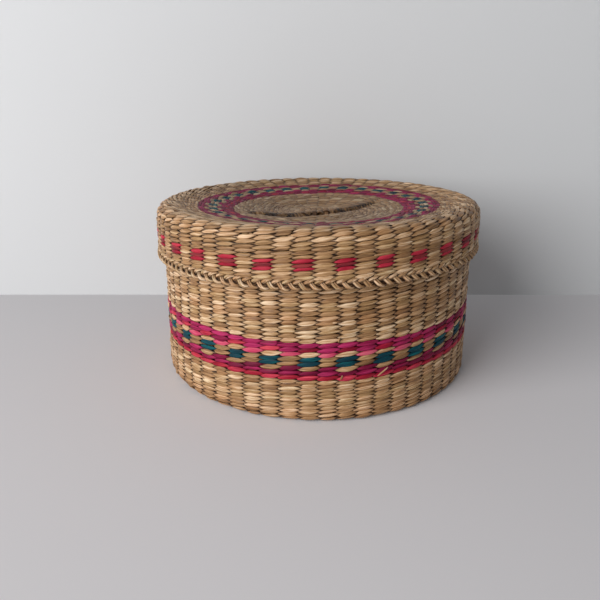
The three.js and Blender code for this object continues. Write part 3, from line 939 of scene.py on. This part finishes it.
def plaitedRing(name, plait, part, node):
    # three pairs of blades that cross in turn: up and down once and in and out twice in each period
    rng = np.random.default_rng(plait["seed"])
    number = plait["seed"] * 3.0
    count = plait["periods"] * plait["stepsPerPeriod"]
    theta = np.arange(count) * 2 * np.pi / count
    grain = np.arange(count) * 2 // plait["stepsPerPeriod"]
    grains = grain.max() + 1
    strands = []
    for k in range(6):
        shift = plait["pairShift"] * (1 if k < 3 else -1)
        phase = plait["periods"] * theta + 2 * np.pi * (k % 3) / 3 + shift
        climb = np.sin(phase) * (1 + plait["climbJitter"] * rng.normal(size=grains)[grain])
        up = climb * np.where(climb > 0, plait["above"], plait["below"])
        inAndOut = np.sin(2 * phase)
        radius = plait["radius"] + plait["halfDepth"] * inAndOut - plait["flare"] * up
        points = settle(pointsAt(radius, theta, plait["height"] + up), part)
        tone = plait["toneFrom"] + plait["toneSpread"] * longRuns(rng, grains, *plait["toneRun"])[grain]
        cover = plait["coverFrom"] + plait["coverSpread"] * smoothStep(*plait["coverRise"], inAndOut)
        hue = longRuns(rng, grains, *plait["hueRun"])[grain]
        strands.append(evenStrand(points, number + k, tone=tone, cover=cover, hue=hue, closed=True))
    # a bundle of blade ends runs round inside the plait and fills it, its low cover painting it dark with
    # gap shade
    points = pointsAt(plait["radius"] - plait["coreIn"], theta, plait["height"] - plait["coreDown"])
    points = settle(points, part)
    strands.append(evenStrand(points, number + 6, radius=plait["core"], tone=0.3, cover=0.1, closed=True))
    piece = sweep(name, strands, plait["halfWidth"], plait["halfThickness"])
    dress(piece, part, ["natural"], node)
    print(name, "plaited")


plaitedRing("rimBraid", rimPlait, "lid", "lid_rim_braid")
plaitedRing("mouthBraid", mouthPlait, "basket_body", "mouth_border")

# The stakes, as flat stems along the middle of the wall
stem = {"thickness": 0.74, "width": 4.2, "step": 3.0, "crowding": 0.72, "lidShare": 0.75}


def stemRing(name, path, part, stakes, start, end, node):
    # each stem is narrower where the stems crowd
    places = np.arange(placeOn(path, **start), placeOn(path, **end), stem["step"])
    r, z = (np.interp(places, path["s"], path[key]) for key in ("r", "z"))
    count = stakes["stakes"]
    size = np.minimum(1, stem["crowding"] * 2 * np.pi * r / count / stem["width"])
    if part == "lid":
        size = size * stem["lidShare"]
    rng = np.random.default_rng(count + len(places))
    strands = []
    for i in range(count):
        angle = math.radians(stakes["stakeAngle"]) + 2 * math.pi * i / count
        points = settle(pointsAt(r, angle, z), part)
        strands.append(evenStrand(
            points, 200.0 + i, tilt=math.pi / 2, radius=size, tone=rng.random(), hue=rng.random(),
        ))
    piece = sweep(name, strands, stem["width"] / 2, stem["thickness"] / 2, twist="MINIMUM")
    dress(piece, part, ["stake"], node)
    print(name, "made,", count, "stems")


for title, path, part, stakes, start, end, node in (
    ("bodyStems", bodyPath, "basket_body", bodyStakes, {"radius": 38}, {"height": 86.4}, "body_stakes"),
    ("lidStems", lidPath, "lid", lidStakes, {"radius": 36}, {"height": 70.5}, "lid_stakes"),
    ("baseStems", bodyPath, "basket_body", fewerStakes(bodyStakes, 28), {"radius": 9}, {"radius": 41}, None),
    ("lidCentreStems", lidPath, "lid", fewerStakes(lidStakes, 30), {"radius": 9}, {"radius": 39}, None),
):
    stemRing(title, path, part, stakes, start, end, node)

# Ends of grass blades that stick out of the wall
looseEnd = {
    "halfWidth": 0.42, "halfThickness": 0.22, "breadths": (0.6, 1, 1, 0.9, 0.5), "sides": 6,
    "startOut": 1.2, "pointsOut": 0.5,   # how far off the wall's middle an end starts, and then goes
    "ends": [   # degrees round, height, length, degrees of rise, tone
        (-84.6, 42.0, 2.4, 80, 0.25), (-83.6, 22.8, 2.6, 74, 0.2), (-71.3, 22.8, 6.4, 38, 1.0),
        (-86.5, 51, 2.2, 8, 0.9), (-118, 57, 2.4, 20, 0.8), (-38, 34, 3.0, -30, 0.7),
        (15, 47, 2.6, 60, 0.6), (74, 30, 3.2, 12, 0.9), (131, 63, 2.4, -50, 0.5),
        (162, 17, 2.8, 25, 0.8), (-162, 40, 2.6, -12, 0.9),
    ],
}


def looseEndRing(name, path):
    strands = []
    breadths = np.array(looseEnd["breadths"])
    share = np.linspace(0, 1, len(breadths))
    for i, (degrees, height, length, rise, tone) in enumerate(looseEnd["ends"]):
        wallRadius = float(np.interp(placeOn(path, height=height), path["s"], path["r"]))
        r = wallRadius + looseEnd["startOut"] + looseEnd["pointsOut"] * share
        theta = math.radians(degrees) + length * math.cos(math.radians(rise)) * share / r
        z = height + length * math.sin(math.radians(rise)) * share
        points = settle(pointsAt(r, theta, z), "basket_body")
        strands.append(evenStrand(points, 90.0 + i, radius=breadths, tone=tone))
    halfWidth, halfThickness = looseEnd["halfWidth"], looseEnd["halfThickness"]
    piece = sweep(name, strands, halfWidth, halfThickness, looseEnd["sides"], "MINIMUM")
    dress(piece, "basket_body", ["natural"])
    print(name, "set,", len(strands), "ends")


looseEndRing("looseEnds", bodyPath)

# The stage is in metres
stage = {
    "floorColour": fromSrgb(227, 224, 226), "floorReach": 4,
    "wallColour": fromSrgb(214, 215, 216), "wallPlace": 0.094, "wallFoot": -0.001, "wallTop": 3,
    "worldColour": fromSrgb(218, 220, 222), "worldStrength": 0.35,
    "keyPower": 20, "keySize": 1.2, "keyPlace": (-0.95, -0.9, 0.58), "keyAim": (0, 0, 0.05),
}


def stagePlane(name, corners, colour, takesLight):
    # a plane that shows from its front alone
    bm = bmesh.new()
    bm.faces.new([bm.verts.new(corner) for corner in corners])
    mesh = bpy.data.meshes.new(name)
    bm.to_mesh(mesh)
    bm.free()
    plane = bpy.data.objects.new(name, mesh)
    bpy.context.scene.collection.objects.link(plane)
    material, tree = newMaterial(name)
    output = tree.nodes.new("ShaderNodeOutputMaterial")
    paint = tree.nodes.new("ShaderNodeBsdfDiffuse")
    paint.inputs["Color"].default_value = (*colour, 1)
    front = mathNode(tree, "SUBTRACT", 1, tree.nodes.new("ShaderNodeNewGeometry").outputs["Backfacing"])
    if not takesLight:
        lightPath = tree.nodes.new("ShaderNodeLightPath")
        cameraRay, glossyRay = (lightPath.outputs["Is " + kind + " Ray"] for kind in ("Camera", "Glossy"))
        seen = mathNode(tree, "MAXIMUM", cameraRay, glossyRay)
        front = mathNode(tree, "MULTIPLY", front, seen)
    clear = tree.nodes.new("ShaderNodeBsdfTransparent")
    mix = tree.nodes.new("ShaderNodeMixShader")
    tree.links.new(front, mix.inputs[0])
    link(tree, clear, 0, mix, 1)
    link(tree, paint, 0, mix, 2)
    link(tree, mix, 0, output, 0)
    plane.data.materials.append(material)


reach, back, foot, top = (stage[place] for place in ("floorReach", "wallPlace", "wallFoot", "wallTop"))
floorCorners = [(-reach, -reach, 0), (reach, -reach, 0), (reach, reach, 0), (-reach, reach, 0)]
wallCorners = [(-reach, back, foot), (reach, back, foot), (reach, back, top), (-reach, back, top)]
stagePlane("floor", floorCorners, stage["floorColour"], True)
stagePlane("backdrop", wallCorners, stage["wallColour"], False)

world = bpy.data.worlds.new("studio")
bpy.context.scene.world = world
world.use_nodes = True
background = world.node_tree.nodes["Background"]
background.inputs[0].default_value = (*stage["worldColour"], 1)
background.inputs[1].default_value = stage["worldStrength"]

key = bpy.data.lights.new("key", "AREA")
key.shape = "DISK"
key.size = stage["keySize"]
key.energy = stage["keyPower"]
keyLamp = bpy.data.objects.new("key", key)
keyLamp.location = stage["keyPlace"]
keyLamp.rotation_euler = (Vector(stage["keyAim"]) - keyLamp.location).to_track_quat("-Z", "Y").to_euler()
bpy.context.scene.collection.objects.link(keyLamp)

# The photograph's viewpoint, in metres and radians, with the lens in millimetres
viewCamera = {"place": (-0.0097, -0.3612, 0.1668), "pitch": 0.3594, "lens": 39.2, "sensor": 36}
camera = bpy.data.objects.new("camera", bpy.data.cameras.new("camera"))
camera.data.lens = viewCamera["lens"]
camera.data.sensor_width = viewCamera["sensor"]
camera.location = viewCamera["place"]
camera.rotation_euler = (math.pi / 2 - viewCamera["pitch"], 0, 0)
bpy.context.scene.collection.objects.link(camera)
bpy.context.scene.camera = camera
bpy.context.scene.view_settings.view_transform = "Standard"
print("stage, lights and camera set")
